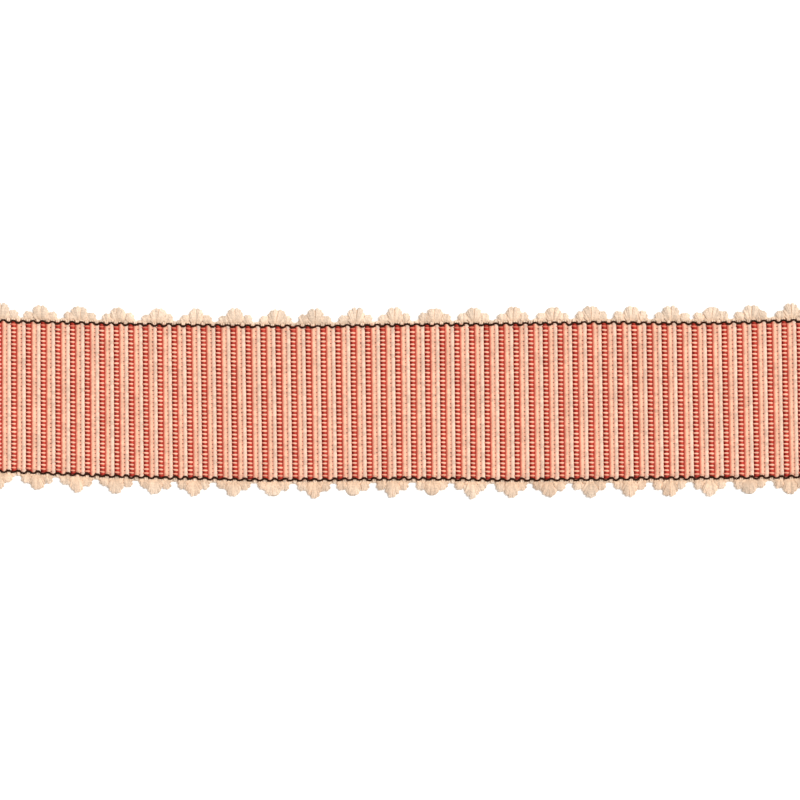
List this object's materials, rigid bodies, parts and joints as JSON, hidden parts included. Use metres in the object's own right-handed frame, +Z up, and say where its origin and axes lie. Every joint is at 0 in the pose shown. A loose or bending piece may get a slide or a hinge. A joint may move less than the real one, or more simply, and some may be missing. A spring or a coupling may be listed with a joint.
{
  "type": "cut length of ribbed tape trim with scalloped edges",
  "caption": "Flat cut length of woven ribbed tape trim, with a fine dark cord and a scalloped edging along both long edges.",
  "frame": {"origin": "middle of the underside's bounding box, on the surface that the tape lies on", "axes": "+X along the tape, +Y across it towards its back edge, +Z up out of its face"},
  "size_m": [0.2831, 0.0657, 0.0015],
  "materials": {
    "ribbed_cloth": "matt ribbed cotton, cream and coral red",
    "dark_cord": "matt black yarn",
    "cream_yarn": "soft matt cream cotton yarn"
  },
  "bodies": {
    "root": {"ribbed_ground": "ribbed_cloth", "back_edge_cord": "dark_cord", "front_edge_cord": "dark_cord", "back_scallop_edging": "cream_yarn", "front_scallop_edging": "cream_yarn"}
  },
  "joints": []
}
